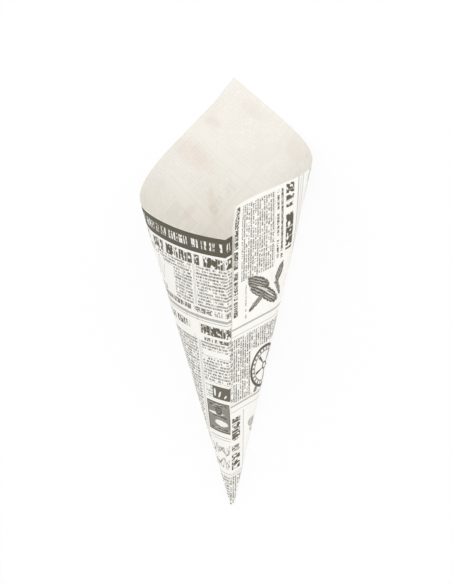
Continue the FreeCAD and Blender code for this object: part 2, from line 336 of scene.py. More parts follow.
class Tree:
    """A node tree that is put together in short calls."""

    def __init__(self, tree):
        self.tree = tree

    @classmethod
    def group(cls, name, kind, inputs, outputs):
        """A node group with named sockets: inputs are (name, type, default), outputs are (name, type)."""
        tree = bpy.data.node_groups.new(name, kind)
        for label, socket_type, default in inputs:
            socket = tree.interface.new_socket(name=label, in_out="INPUT", socket_type=socket_type)
            if default is not None:
                socket.default_value = default
        for label, socket_type in outputs:
            tree.interface.new_socket(name=label, in_out="OUTPUT", socket_type=socket_type)
        made = cls(tree)
        made.source = tree.nodes.new("NodeGroupInput").outputs
        made.result = tree.nodes.new("NodeGroupOutput").inputs
        return made

    def feed(self, socket, value):
        if isinstance(value, bpy.types.NodeSocket):
            self.tree.links.new(value, socket)
        elif value is not None:
            socket.default_value = value

    def node(self, kind, *values, **settings):
        """A node with its inputs fed in order, or by name from the settings' inputs."""
        named = settings.pop("inputs", {})
        node = self.tree.nodes.new(kind)
        for label, value in settings.items():
            setattr(node, label, value)
        for socket, value in zip(node.inputs, values):
            self.feed(socket, value)
        for label, value in named.items():
            self.feed(node.inputs[label], value)
        return node

    def call(self, group, **named):
        """A node that holds another group, with its inputs fed by name, underscores for spaces."""
        kind = "GeometryNodeGroup" if self.tree.type == "GEOMETRY" else "ShaderNodeGroup"
        node = self.tree.nodes.new(kind)
        node.node_tree = group.tree
        for label, value in named.items():
            self.feed(node.inputs[label.replace("_", " ")], value)
        return node.outputs

    def maths(self, operation, *values):
        return self.node("ShaderNodeMath", *values, operation=operation).outputs[0]

    def plus(self, first, second):
        return self.maths("ADD", first, second)

    def minus(self, first, second):
        return self.maths("SUBTRACT", first, second)

    def times(self, first, second):
        return self.maths("MULTIPLY", first, second)

    def over(self, first, second):
        return self.maths("DIVIDE", first, second)

    def times_plus(self, first, second, third):
        return self.maths("MULTIPLY_ADD", first, second, third)

    def smaller(self, first, second):
        return self.maths("MINIMUM", first, second)

    def larger(self, first, second):
        return self.maths("MAXIMUM", first, second)

    def put(self, name, value):
        """Send a value out of the group."""
        self.feed(self.result[name], value)

    def held(self, value):
        """The value held from 0 to 1.

        Two plain nodes do it, because nodes that clamp by themselves fill up the renderer's stack.
        """
        return self.larger(self.smaller(value, 1.0), 0.0)

    def edge(self, inside, sharpness):
        """Goes from 0 to 1 where the distance inside passes 0."""
        return self.held(self.times_plus(inside, sharpness, 0.5))

    def vector(self, operation, *values):
        node = self.node("ShaderNodeVectorMath", operation=operation)
        sockets = [socket for socket in node.inputs if socket.enabled]
        for socket, value in zip(sockets, values):
            self.feed(socket, value)
        return next(socket for socket in node.outputs if socket.enabled)

    def ramp(self, value, from_low, from_high, to_low=0.0, to_high=1.0):
        """The value carried from one range to another, and held at its ends."""
        share = self.held(self.node(
            "ShaderNodeMapRange", value, from_low, from_high, 0.0, 1.0, clamp=False).outputs[0])
        if (to_low, to_high) == (0.0, 1.0):
            return share
        return self.times_plus(share, to_high - to_low, to_low)

    def turn(self, vector, axis, turned):
        return self.node(
            "ShaderNodeVectorRotate", rotation_type="AXIS_ANGLE",
            inputs={"Vector": vector, "Axis": axis, "Angle": turned}).outputs[0]

    def pair(self, first, second, third=0.0):
        return self.node("ShaderNodeCombineXYZ", first, second, third).outputs[0]

    def scaled(self, vector, amount):
        node = self.node("ShaderNodeVectorMath", operation="SCALE")
        self.feed(node.inputs[0], vector)
        self.feed(node.inputs["Scale"], amount)
        return node.outputs[0]

    def mix(self, share, first, second, blend_type="MIX"):
        """Two colours mixed."""
        node = self.node("ShaderNodeMix", data_type="RGBA", blend_type=blend_type)
        for name, value in (("Factor_Float", share), ("A_Color", first), ("B_Color", second)):
            self.feed(next(socket for socket in node.inputs if socket.identifier == name), value)
        return next(socket for socket in node.outputs if socket.enabled)


FLOAT, VECTOR, GEOMETRY = "NodeSocketFloat", "NodeSocketVector", "NodeSocketGeometry"


def roll_strip_group():
    """Carries the ruling over one strip of the sheet, for as much of the strip as a point has passed."""
    group = Tree.group("Roll Strip", "GeometryNodeTree", [
        ("Ruling", VECTOR, None), ("Across", VECTOR, None), ("Sheet Angle", FLOAT, 0.0),
        ("First Angle", FLOAT, 0.0), ("Spread", FLOAT, 0.1), ("Bend", FLOAT, 0.0),
    ], [("Ruling", VECTOR), ("Across", VECTOR)])
    source = group.source
    passed = group.minus(source["Sheet Angle"], source["First Angle"])
    passed = group.smaller(group.larger(passed, 0.0), source["Spread"])
    steepness = group.times_plus(source["Bend"], source["Bend"], 1.0)
    turned = group.times(passed, group.maths("SQRT", steepness))
    normal = group.vector("CROSS_PRODUCT", source["Ruling"], source["Across"])
    axis = group.vector("ADD", normal, group.scaled(source["Ruling"], source["Bend"]))
    for name in ("Ruling", "Across"):
        group.put(name, group.turn(source[name], axis, turned))
    return group


def fold_group():
    """Folds the sheet along one ruling. A point on the fold itself is turned halfway, for a mitred wall."""
    group = Tree.group("Fold", "GeometryNodeTree", [
        ("Ruling", VECTOR, None), ("Across", VECTOR, None), ("Depth Scale", FLOAT, 1.0),
        ("Sheet Angle", FLOAT, 0.0), ("Fold Angle", FLOAT, 0.0), ("Turn", FLOAT, 0.0),
    ], [("Across", VECTOR), ("Depth Scale", FLOAT)])
    source = group.source
    low = group.minus(source["Fold Angle"], CREASE_WIDTH)
    high = group.plus(source["Fold Angle"], CREASE_WIDTH)
    share = group.ramp(source["Sheet Angle"], low, high)
    across = group.turn(source["Across"], source["Ruling"], group.times(share, source["Turn"]))
    group.put("Across", across)
    half = group.maths("COSINE", group.times(source["Turn"], 0.5))
    extra = group.minus(group.over(1.0, half), 1.0)
    rest = group.minus(1.0, share)
    on_fold = group.times(group.times(share, rest), 4.0)
    scale = group.times_plus(extra, on_fold, 1.0)
    group.put("Depth Scale", group.times(source["Depth Scale"], scale))
    return group


PANEL_NAMES = (
    "Tail", "Right Front", "Right Corner", "Right Back", "Left Back", "Left Corner", "Left Front", "Flap")
FOLDS = {1: "Ridge", 4: "Back", 7: "Ridge"}


def roll_tree(materials):
    """The tree that rolls, folds and settles the flat sheet, and gives its sides their materials."""
    inputs = [("Geometry", GEOMETRY, None), ("Apex", VECTOR, None), ("Start Ruling", VECTOR, None),
              ("Start Across", VECTOR, None), ("Start Angle", FLOAT, 0.0)]
    for name in PANEL_NAMES:
        inputs += [(f"{name} Spread", FLOAT, 0.1), (f"{name} Bend", FLOAT, 0.0)]
    inputs += [(name, FLOAT, 0.0) for name in (
        "Ridge Turn", "Back Turn", "Apex Before Tip", "Apex Beside Lap", "Wall", "Ripple", "Ripple Size",
        "Mouth Reach", "Corner Curl", "Curl Reach")]
    tree = Tree.group("Roll the Sheet", "GeometryNodeTree", inputs, [("Geometry", GEOMETRY)])
    source = tree.source
    roll_strip, fold = roll_strip_group(), fold_group()

    flat = tree.node("GeometryNodeInputPosition").outputs[0]
    split = tree.node("ShaderNodeSeparateXYZ", flat).outputs
    from_apex_u = tree.plus(split["X"], source["Apex Before Tip"])
    from_apex_v = tree.minus(split["Y"], source["Apex Beside Lap"])
    sheet_angle = tree.maths("ARCTAN2", from_apex_v, from_apex_u)
    reach = tree.vector("LENGTH", tree.pair(from_apex_u, from_apex_v))

    ruling, across, scale = source["Start Ruling"], source["Start Across"], 1.0
    at = source["Start Angle"]
    edges = [at]
    for number, name in enumerate(PANEL_NAMES):
        if number in FOLDS:
            folded = tree.call(
                fold, Ruling=ruling, Across=across, Depth_Scale=scale, Sheet_Angle=sheet_angle,
                Fold_Angle=at, Turn=source[f"{FOLDS[number]} Turn"])
            across, scale = folded["Across"], folded["Depth Scale"]
        spread = source[f"{name} Spread"]
        rolled = tree.call(
            roll_strip, Ruling=ruling, Across=across, Sheet_Angle=sheet_angle, First_Angle=at,
            Spread=spread, Bend=source[f"{name} Bend"])
        ruling, across = rolled["Ruling"], rolled["Across"]
        at = tree.plus(at, spread)
        edges.append(at)

    sunk = tree.ramp(sheet_angle, edges[6], edges[7])
    raised = tree.ramp(sheet_angle, edges[1], edges[0])
    settled = tree.times(tree.minus(sunk, raised), source["Wall"])
    depth = tree.plus(split["Z"], settled)
    depth = tree.times(depth, scale)
    normal = tree.vector("CROSS_PRODUCT", ruling, across)

    on_skin = tree.vector("ADD", tree.scaled(ruling, reach), source["Apex"])
    share = tree.maths("POWER", tree.over(reach, source["Mouth Reach"]), 1.5)
    waves = tree.node(
        "ShaderNodeTexNoise", noise_dimensions="3D",
        inputs={"Vector": on_skin, "Scale": tree.over(1.0, source["Ripple Size"]), "Detail": 1.0})
    dip = tree.times(tree.ramp(waves.outputs[0], 0.3, 0.7), share)
    depth = tree.times_plus(dip, source["Ripple"], depth)
    corner = tree.pair(source["Mouth Reach"], tree.times(source["Apex Beside Lap"], -1.0))
    from_corner = tree.vector("DISTANCE", tree.pair(from_apex_u, from_apex_v), corner)
    curl = tree.ramp(from_corner, source["Curl Reach"], 0.0)
    curl = tree.times(tree.maths("POWER", curl, 2.0), source["Corner Curl"])
    depth = tree.minus(depth, curl)
    rolled_place = tree.vector("ADD", on_skin, tree.scaled(normal, depth))

    moved = tree.node("GeometryNodeSetPosition", inputs={
        "Geometry": source["Geometry"], "Position": rolled_place}).outputs[0]
    smooth = tree.node("GeometryNodeSetShadeSmooth", inputs={
        "Geometry": moved, "Shade Smooth": True}).outputs[0]
    steep = tree.node("FunctionNodeCompare", operation="GREATER_THAN", data_type="FLOAT", inputs={
        "A": tree.node("GeometryNodeInputMeshEdgeAngle").outputs[0], "B": SHARP_ANGLE}).outputs[0]
    creased = tree.node("GeometryNodeSetShadeSmooth", domain="EDGE", inputs={
        "Geometry": smooth, "Selection": steep, "Shade Smooth": False}).outputs[0]
    result = tree.node("GeometryNodeRealizeInstances", creased).outputs[0]
    side = tree.node("GeometryNodeInputNamedAttribute", data_type="INT", inputs={
        "Name": "sheet_side"}).outputs[0]
    for number, material in enumerate(materials):
        chosen = tree.node("FunctionNodeCompare", operation="EQUAL", data_type="INT")
        tree.feed(next(socket for socket in chosen.inputs if socket.enabled and socket.name == "A"), side)
        tree.feed(next(socket for socket in chosen.inputs if socket.enabled and socket.name == "B"), number)
        result = tree.node("GeometryNodeSetMaterial", inputs={
            "Geometry": result, "Selection": chosen.outputs[0], "Material": material}).outputs[0]
    tree.put(0, result)
    return tree


def paper_grain_group():
    """Fibres and faint clouding of greaseproof paper. Clouding is about 1, Fibre Height is from 0 to 1."""
    group = Tree.group("Paper Grain", "ShaderNodeTree", [
        ("Place", VECTOR, None), ("Cloud Size", FLOAT, 22.0), ("Cloud Strength", FLOAT, 0.08),
        ("Fibre Size", FLOAT, 0.9),
    ], [("Clouding", FLOAT), ("Fibre Height", FLOAT)])
    source = group.source
    clouds = group.node("ShaderNodeTexNoise", inputs={
        "Vector": source["Place"], "Scale": group.over(1.0, source["Cloud Size"]),
        "Detail": 3.0}).outputs[0]
    swing = group.minus(clouds, 0.5)
    clouding = group.times_plus(swing, source["Cloud Strength"], 1.0)
    group.put("Clouding", clouding)
    fibres = group.node("ShaderNodeTexNoise", inputs={
        "Vector": source["Place"], "Scale": group.over(1.0, source["Fibre Size"]),
        "Detail": 2.0, "Distortion": 1.2}).outputs[0]
    group.put("Fibre Height", fibres)
    return group


def print_box_group():
    """Is 1 inside a box of the flat sheet, in millimetres, and fades to 0 over the ink's soft edge."""
    group = Tree.group("Print Box", "ShaderNodeTree", [
        ("U", FLOAT, 0.0), ("V", FLOAT, 0.0), ("U From", FLOAT, 0.0), ("U To", FLOAT, 1.0),
        ("V From", FLOAT, 0.0), ("V To", FLOAT, 1.0),
    ], [("Mask", FLOAT)])
    source = group.source
    room = []
    for axis in "UV":
        room.append(group.minus(source[axis], source[f"{axis} From"]))
        room.append(group.minus(source[f"{axis} To"], source[axis]))
    nearest = group.smaller(group.smaller(*room[:2]), group.smaller(*room[2:]))
    group.put("Mask", group.edge(nearest, INK_EDGE))
    return group


def print_field_group():
    """Gives a box its own type and ink, and leaves them as they were outside it.

    Type is row pitch, height of a row above v = 0, and stroke. Ink is ground, marks over it, and fill.
    """
    inputs = [("Mask", FLOAT, 0.0)]
    inputs += [(name, VECTOR, None) for name in ("Type", "Ink", "Field Type", "Field Ink")]
    group = Tree.group("Print Field", "ShaderNodeTree", inputs, [("Type", VECTOR), ("Ink", VECTOR)])
    source = group.source
    for name in ("Type", "Ink"):
        change = group.vector("SUBTRACT", source[f"Field {name}"], source[name])
        change = group.scaled(change, source["Mask"])
        group.put(name, group.vector("ADD", change, source[name]))
    return group


def type_marks_group():
    """Bars and dashes that stand for rows of type, in millimetres. They are no letters."""
    group = Tree.group("Type Marks", "ShaderNodeTree", [
        ("U", FLOAT, 0.0), ("V", FLOAT, 0.0), ("Row Pitch", FLOAT, 3.0), ("Lift", FLOAT, 0.0),
        ("Stroke", FLOAT, 1.0), ("Fill", FLOAT, 0.5),
    ], [("Ink", FLOAT)])
    source = group.source
    lifted = group.minus(source["V"], source["Lift"])
    rows = group.over(lifted, source["Row Pitch"])
    row = group.maths("FLOOR", rows)
    from_middle = group.minus(group.maths("FRACT", rows), 0.5)
    half_height = group.ramp(source["Row Pitch"], 3.2, 5.0, 0.33, 0.48)
    inside = group.minus(half_height, group.maths("ABSOLUTE", from_middle))
    inside = group.times(inside, source["Row Pitch"])
    band = group.edge(inside, INK_EDGE)
    along = group.over(source["U"], source["Stroke"])
    seed = group.times_plus(source["Row Pitch"], PITCH_SEED, source["Lift"])
    row_seed = group.times_plus(row, ROW_SEED, seed)

    def noise(first, second, third):
        return group.node("ShaderNodeTexNoise", inputs={
            "Vector": group.pair(first, second, third), "Scale": 1.0, "Detail": 0.0}).outputs[0]

    lean = group.minus(noise(group.times(along, 0.3), row_seed, 9.0), 0.5)
    lean = group.times(group.times(lean, from_middle), HEAD_LEAN)
    leaning = group.plus(along, lean)
    threshold = group.ramp(source["Fill"], 0.0, 1.0, 0.72, 0.28)
    stems = group.minus(noise(leaning, row_seed, 0.0), threshold)
    stems = group.edge(stems, 9.0)
    cuts = noise(group.times(leaning, 0.8), group.times(rows, 3.4), row_seed)
    cuts = group.edge(group.minus(cuts, 0.38), 9.0)
    words = noise(group.times(along, 0.22), row_seed, 4.0)
    words = group.edge(group.minus(words, 0.36), 16.0)
    ink = group.times(group.times(stems, cuts), group.times(band, words))
    group.put("Ink", ink)
    return group


def ink_blot_group():
    """A ragged oval, shaded with fine lines like an engraving, in millimetres."""
    group = Tree.group("Ink Blot", "ShaderNodeTree", [
        ("U", FLOAT, 0.0), ("V", FLOAT, 0.0), ("Roughness", FLOAT, 0.5), ("Centre U", FLOAT, 0.0),
        ("Centre V", FLOAT, 0.0), ("Length", FLOAT, 10.0), ("Width", FLOAT, 5.0), ("Turn", FLOAT, 0.0),
        ("Raggedness", FLOAT, 0.4), ("Softness", FLOAT, 0.04), ("Line Depth", FLOAT, 0.4),
    ], [("Mask", FLOAT), ("Shade", FLOAT)])
    source = group.source
    over = group.minus(source["U"], source["Centre U"])
    up = group.minus(source["V"], source["Centre V"])
    cosine, sine = group.maths("COSINE", source["Turn"]), group.maths("SINE", source["Turn"])
    along = group.times_plus(over, cosine, group.times(up, sine))
    across = group.minus(group.times(up, cosine), group.times(over, sine))
    along = group.over(group.times(along, 2.0), source["Length"])
    broad = group.over(group.times(across, 2.0), source["Width"])
    square = group.times_plus(along, along, group.times(broad, broad))
    swing = group.times(group.minus(source["Roughness"], 0.5), source["Raggedness"])
    radius = group.plus(group.maths("SQRT", square), swing)
    outer = group.plus(1.0, source["Softness"])
    inner = group.minus(1.0, source["Softness"])
    group.put("Mask", group.ramp(radius, outer, inner))
    phase = group.times_plus(source["Roughness"], 9.0, group.times(across, 2.7))
    lines = group.edge(group.maths("SINE", phase), 1.5)
    lighter = group.times(lines, group.ramp(radius, 0.95, 0.6))
    lighter = group.times(lighter, source["Line Depth"])
    group.put("Shade", group.minus(1.0, lighter))
    return group


def dial_group():
    """A ring with a toothed band, a few arms and a hub, in millimetres."""
    group = Tree.group("Dial", "ShaderNodeTree", [
        ("U", FLOAT, 0.0), ("V", FLOAT, 0.0), ("Centre U", FLOAT, 0.0), ("Centre V", FLOAT, 0.0),
        ("Radius", FLOAT, 20.0), ("Teeth", FLOAT, 24.0), ("Arms", FLOAT, 5.0),
    ], [("Mask", FLOAT), ("Ink", FLOAT)])
    source = group.source
    over = group.minus(source["U"], source["Centre U"])
    up = group.minus(source["V"], source["Centre V"])
    square = group.times_plus(over, over, group.times(up, up))
    radius = group.over(group.maths("SQRT", square), source["Radius"])
    turned = group.over(group.maths("ARCTAN2", up, over), math.tau)

    def ring(middle, half):
        away = group.maths("ABSOLUTE", group.minus(radius, middle))
        return group.edge(group.minus(half, away), 24.0)

    def spokes(count, half):
        part = group.maths("FRACT", group.times(turned, count))
        away = group.maths("ABSOLUTE", group.minus(part, 0.5))
        return group.edge(group.minus(half, away), 12.0)

    ink = group.larger(ring(0.92, 0.07), ring(0.7, 0.025))
    ink = group.larger(ink, group.times(spokes(source["Teeth"], 0.2), ring(0.79, 0.05)))
    ink = group.larger(ink, group.times(spokes(source["Arms"], 0.09), ring(0.4, 0.24)))
    ink = group.larger(ink, ring(0.15, 0.04))
    group.put("Ink", ink)
    group.put("Mask", group.ramp(radius, 1.01, 0.99))
    return group


def flourish_group():
    """A winding pen line that runs along u, in millimetres."""
    group = Tree.group("Flourish", "ShaderNodeTree", [
        ("U", FLOAT, 0.0), ("V", FLOAT, 0.0), ("Middle", FLOAT, 0.0), ("Height", FLOAT, 8.0),
        ("Loop", FLOAT, 6.0), ("Thickness", FLOAT, 0.8),
    ], [("Ink", FLOAT)])
    source = group.source
    along = group.over(group.times(source["U"], math.tau), source["Loop"])
    sway = group.maths("SINE", group.times_plus(along, 0.41, source["Middle"]))
    phase = group.times_plus(sway, 1.6, along)
    reach = group.times(group.times_plus(sway, 0.16, 0.3), source["Height"])
    line = group.times_plus(group.maths("SINE", phase), reach, source["Middle"])
    away = group.maths("ABSOLUTE", group.minus(source["V"], line))
    steep = group.maths("ABSOLUTE", group.maths("COSINE", phase))
    half = group.times(group.times_plus(steep, 2.4, 0.7), source["Thickness"])
    ink = group.edge(group.minus(half, away), 2.0)
    group.put("Ink", ink)
    return group


SMALL_TYPE = (3.0, 0.0, 0.62)
BARE = (0.0, 0.0, 0.5)


class PrintPage:
    """Lays the print on the flat sheet, one field over another. Boxes are (u from, u to, v from, v to).

    Fields choose the type and the ink of each place, and pictures are painted over them.
    """

    def __init__(self, tree, place):
        self.tree = tree
        self.box_group = print_box_group()
        self.field_group = print_field_group()
        self.blot_group = ink_blot_group()
        self.dial_group = dial_group()
        self.flourish_group = flourish_group()
        noise = [tree.node("ShaderNodeTexNoise", inputs={
            "Vector": place, "Scale": scale, "Detail": 2.0}).outputs[0] for scale in (0.8, 0.3)]
        spread = tree.times(tree.minus(noise[0], 0.5), 0.5)
        split = tree.node("ShaderNodeSeparateXYZ", place).outputs
        self.u = tree.plus(split["X"], spread)
        self.v = tree.plus(split["Y"], spread)
        self.roughness = noise[1]
        self.type, self.ink = SMALL_TYPE, BARE
        self.cover, self.picture = 0.0, 0.0

    def mask(self, box):
        return self.tree.call(
            self.box_group, U=self.u, V=self.v, U_From=box[0], U_To=box[1], V_From=box[2],
            V_To=box[3])["Mask"]

    def field(self, box, field_type, ink):
        parts = self.tree.call(
            self.field_group, Mask=self.mask(box), Type=self.type, Ink=self.ink, Field_Type=field_type,
            Field_Ink=ink)
        self.type, self.ink = parts["Type"], parts["Ink"]

    def small_type(self, box, tone=0.9, fill=0.74):
        self.field(box, SMALL_TYPE, (0.0, tone, fill))

    def clear(self, *boxes):
        for box in boxes:
            self.field(box, SMALL_TYPE, BARE)

    def rule(self, box, tone=1.0):
        self.field(box, SMALL_TYPE, (tone, 0.0, 0.5))

    def cross_rules(self, middles, width, low, high, tone=0.55):
        """Rules along v, each with its middle at one u."""
        for middle in middles:
            self.rule((middle - width / 2, middle + width / 2, low, high), tone)

    def heading(self, box, stroke, tone=1.0, fill=0.68):
        """One row of heavy type that fills the height of its box."""
        self.field(box, (box[3] - box[2], box[2], stroke), (0.0, tone, fill))

    def pale_heading(self, box, stroke, tone=1.0, fill=0.5):
        """One row of pale type on a dark field."""
        self.field(box, (box[3] - box[2], box[2], stroke), (tone, -tone, fill))

    def paint(self, mask, pattern, tone):
        """Paint a pattern where the mask is 1, over every field and earlier picture."""
        change = self.tree.minus(self.tree.times(pattern, tone), self.picture)
        self.picture = self.tree.times_plus(change, mask, self.picture)
        self.cover = self.tree.larger(self.cover, mask)

    def blot(self, start, end, width, tone=1.0, ragged=0.6, line_depth=0.4, softness=0.08):
        """A ragged, shaded oval from one point to another."""
        start, end = Vector(start), Vector(end)
        centre, along = (start + end) / 2, end - start
        parts = self.tree.call(
            self.blot_group, U=self.u, V=self.v, Roughness=self.roughness, Centre_U=centre.x,
            Centre_V=centre.y, Length=along.length, Width=width, Turn=math.atan2(along.y, along.x),
            Raggedness=ragged, Softness=softness, Line_Depth=line_depth)
        self.paint(parts["Mask"], parts["Shade"], tone)

    def dial(self, centre, radius, tone=1.0):
        parts = self.tree.call(
            self.dial_group, U=self.u, V=self.v, Centre_U=centre[0], Centre_V=centre[1], Radius=radius)
        self.paint(parts["Mask"], parts["Ink"], tone)

    def flourish(self, box, loop, tone=0.8, thickness=0.42):
        line = self.tree.call(
            self.flourish_group, U=self.u, V=self.v, Middle=(box[2] + box[3]) / 2, Height=box[3] - box[2],
            Loop=loop, Thickness=thickness)["Ink"]
        self.paint(self.tree.times(line, self.mask(box)), 1.0, tone)

    def framed_view(self, box, tone=0.9):
        """A small framed landscape: a dark upper bank, a round shape, a pale middle and a dark ground."""
        u_low, u_high, v_low, v_high = box
        wide, high = u_high - u_low, v_high - v_low
        self.rule(box, tone)
        self.rule((u_low + 1.1, u_high - 1.1, v_low + 1.1, v_high - 1.1), 0.8)
        for start, end, width, shade, depth in (
            ((0.08, 0.90), (0.92, 0.86), 0.18, tone, 0.5), ((0.24, 0.62), (0.94, 0.60), 0.08, 0.04, 0.0),
            ((0.30, 0.72), (0.64, 0.72), 0.28, 1.0, 0.2), ((0.08, 0.50), (0.80, 0.53), 0.10, tone, 0.5),
            ((0.12, 0.29), (0.66, 0.33), 0.20, 0.04, 0.0), ((0.06, 0.11), (0.94, 0.10), 0.16, tone, 0.5)):
            points = [(u_low + wide * u, v_low + high * v) for u, v in (start, end)]
            self.blot(*points, high * width, shade, 0.6, depth)

    def spray(self, corner, size, tone=1.0):
        """Long leaves that cross, with a pale gap between them, in a square."""
        for start, end, width, shade in (
            ((0.85, 0.06), (0.45, 0.83), 0.32, tone), ((0.52, 0.46), (0.03, 1.10), 0.30, tone),
            ((0.62, 0.16), (0.28, 0.66), 0.16, tone),
            ((0.38, 0.72), (0.08, 0.12), 0.14, tone), ((0.90, 1.30), (0.42, 1.00), 0.20, tone),
            ((0.62, 1.00), (0.10, 1.22), 0.12, tone), ((0.82, 0.80), (0.50, 1.02), 0.14, 0.04),
            ((0.58, 0.40), (0.36, 0.78), 0.05, 0.3), ((0.40, 0.66), (0.14, 1.00), 0.04, 0.3)):
            points = [(corner[0] + size * u, corner[1] + size * v) for u, v in (start, end)]
            self.blot(*points, size * width, shade)

    def all_ink(self):
        """Draw the chosen type, and put the pictures over it."""
        sizes = self.tree.node("ShaderNodeSeparateXYZ", self.type).outputs
        inks = self.tree.node("ShaderNodeSeparateXYZ", self.ink).outputs
        marks = self.tree.call(
            type_marks_group(), U=self.u, V=self.v, Row_Pitch=sizes["X"], Lift=sizes["Y"], Stroke=sizes["Z"],
            Fill=inks["Z"])["Ink"]
        printed = self.tree.times_plus(marks, inks["Y"], inks["X"])
        change = self.tree.minus(self.picture, printed)
        return self.tree.times_plus(change, self.cover, printed)


def newsprint_group():
    """The whole print on the flat sheet: columns of small type with rules, headings and picture fields."""
    group = Tree.group("Newsprint", "ShaderNodeTree", [("Place", VECTOR, None)], [("Ink", FLOAT)])
    page = PrintPage(group, group.source["Place"])
    # Small type everywhere, parted by bare gutters with rules in them.
    page.small_type((-60, 320, -20, 300))
    page.clear((17, 22, 78, 260), (94, 106, -20, 200), (169, 184, -20, 260), (31, 36, -20, 60),
               (224, 242, 112, 280), (100, 106, 200, 260), (140, 143, 112, 260), (205, 208, 112, 260),
               (-60, 320, 188, 200))
    page.cross_rules((18.5, 19.9), 0.5, 80, 246, 0.6)
    page.cross_rules((178.9, 103.7), 1.7, -20, 258)
    page.cross_rules((172.0, 97.6, 34.4, 32.6), 0.5, -20, 258, 0.6)
    page.cross_rules((239.0, 227.0), 1.3, 112, 258)
    page.cross_rules((141.5, 206.5), 0.5, 112, 258)
    page.rule((-60, 320, 195.6, 198.2), 0.55)
    page.rule((-60, 320, 193.4, 194.0), 0.6)

    # The sides that the photo doesn't show.
    page.heading((108, 168, 180.0, 190.0), 2.6)
    page.heading((184, 224, 201.0, 212.0), 3.2)
    page.clear((244, 296, 150, 162))
    page.heading((246, 294, 151.5, 160.5), 2.6)
    page.clear((145, 168, 206, 240), (184, 204, 128, 176), (110, 139, 128, 170))
    page.framed_view((146, 166, 208, 238))
    page.dial((194, 166), 8.5)
    page.spray((110, 130), 27)
    page.blot((186, 134), (203, 150), 11)
    page.blot((248, 210), (276, 190), 18, 0.6)

    # The lap, next to the mouth: headings, a column of type and the leaves.
    page.clear((183, 320, -20, 112))
    page.heading((190, 293.5, 3.0, 8.6), 1.0, fill=0.84)
    page.small_type((221, 291, 13, 58), 0.9, 0.76)
    page.small_type((184, 216, 17.6, 21.2), 0.7)
    page.heading((227, 291, 60.4, 64.2), 0.9, fill=0.8)
    page.heading((226, 291, 66.0, 69.8), 0.9, fill=0.8)
    page.heading((228, 293, 73.0, 84.5), 2.3, fill=0.64)
    page.rule((184, 320, 90.2, 91.8), 0.5)
    page.rule((184, 320, 94.6, 95.4), 0.5)
    page.rule((184, 320, 98.4, 99.6), 0.5)
    page.spray((186, 19), 40)

    # The lap, halfway down: close type round the dial.
    page.small_type((108, 168, -20, 80), 0.92, 0.84)
    page.clear((107, 150, 27, 70))
    page.dial((127.5, 47.5), 21)
    page.blot((140, 63), (134, 68), 4, 0.9)
    page.blot((106, 32), (112, 37), 4, 1.0, 0.3)

    # The lap, near the tip.
    page.clear((36, 94, -20, 44))
    page.heading((38, 91, 2.0, 13.5), 1.25, fill=0.8)
    page.rule((36, 95, 17.4, 18.0), 0.7)
    page.blot((82, 28), (73, 31), 10, 0.6, 0.9)
    page.blot((72, 26), (66, 35), 4, 0.5, 0.9)

    # The left mouth edge and what is under it: the dark band, its heading and the columns.
    page.clear((-60, 103, 246, 290))
    page.rule((-60, 100, 258.5, 290))
    page.pale_heading((-60, 97, 262.8, 270.8), 1.7, fill=0.42)
    page.heading((-60, 96, 246.3, 256.4), 2.2, fill=0.82)
    page.clear((-60, 103, 173.5, 193), (-60, 103, 199, 207.5))
    page.heading((-60, 100, 200.8, 206.0), 1.2, 0.9, 0.76)
    page.heading((-60, 17, 180.8, 190.4), 1.7, fill=0.84)
    page.heading((-60, 13, 174.4, 178.6), 0.9, 0.95, 0.8)
    page.clear((46, 62, 207, 236), (62, 90, 212, 240), (22, 30, 176, 193), (-14, 16, 160, 166))
    page.flourish((62, 100, 214, 240), 14)
    page.heading((30, 92, 182.0, 189.0), 1.5, fill=0.7)
    page.cross_rules((24.5,), 0.5, 135, 178, 0.6)
    page.clear((38, 56, 104, 134))
    page.spray((40, 106), 16, 0.7)

    # The left front, near the tip: a dark label, the framed view and the pen lines.
    page.clear((-60, 17.5, 40, 134))
    page.small_type((8, 16.5, 118.5, 132), 0.7)
    page.rule((-60, 8, 118.5, 131.5), 0.95)
    page.blot((5.5, 121), (5.5, 129), 2.2, 0.05, 0.2)
    page.blot((1.5, 120.5), (-1.0, 127), 1.8, 0.05, 0.2)
    page.blot((-4.5, 120.5), (-7.0, 124), 1.6, 0.05, 0.2)
    page.framed_view((-9.5, 16.5, 84.5, 115), 1.0)
    page.rule((-60, 15, 79.4, 80.0), 0.8)
    page.rule((-60, 14, 76.8, 77.3), 0.6)
    for low in (60, 46):
        page.flourish((-12, 14, low, low + 13), 7)
        page.flourish((-12, 14, low, low + 11), 4.6)
    page.rule((-60, 12, 41.4, 42.0), 0.6)
    group.put("Ink", page.all_ink())
    return group, page.blot_group


def stain_group(blot_group):
    """Soft patches where heavy print shows through on the plain side."""
    group = Tree.group("Soft Patches", "ShaderNodeTree", [("Place", VECTOR, None)], [("Mask", FLOAT)])
    split = group.node("ShaderNodeSeparateXYZ", group.source["Place"]).outputs
    mask = 0.0
    for start, end, width, strength in PATCHES:
        start, end = Vector(start), Vector(end)
        centre, along = (start + end) / 2, end - start
        patch = group.call(
            blot_group, U=split["X"], V=split["Y"], Centre_U=centre.x, Centre_V=centre.y,
            Length=along.length, Width=width, Turn=math.atan2(along.y, along.x), Softness=0.35)["Mask"]
        mask = group.larger(mask, group.times(patch, strength))
    group.put("Mask", mask)
    return group


def material_tree(name):
    """A new material with only its shader and its output, and the tree to add to."""
    material = bpy.data.materials.new(name)
    material.use_nodes = True
    tree = Tree(material.node_tree)
    shader = material.node_tree.nodes["Principled BSDF"]
    return material, tree, shader


def sheet_place(tree):
    """The flat place on the sheet, in millimetres, from the piece's own UV map."""
    uv = tree.node("ShaderNodeUVMap", uv_map="flat_place").outputs[0]
    return tree.vector("MULTIPLY", uv, (1 / MM, 1 / MM, 0.0))


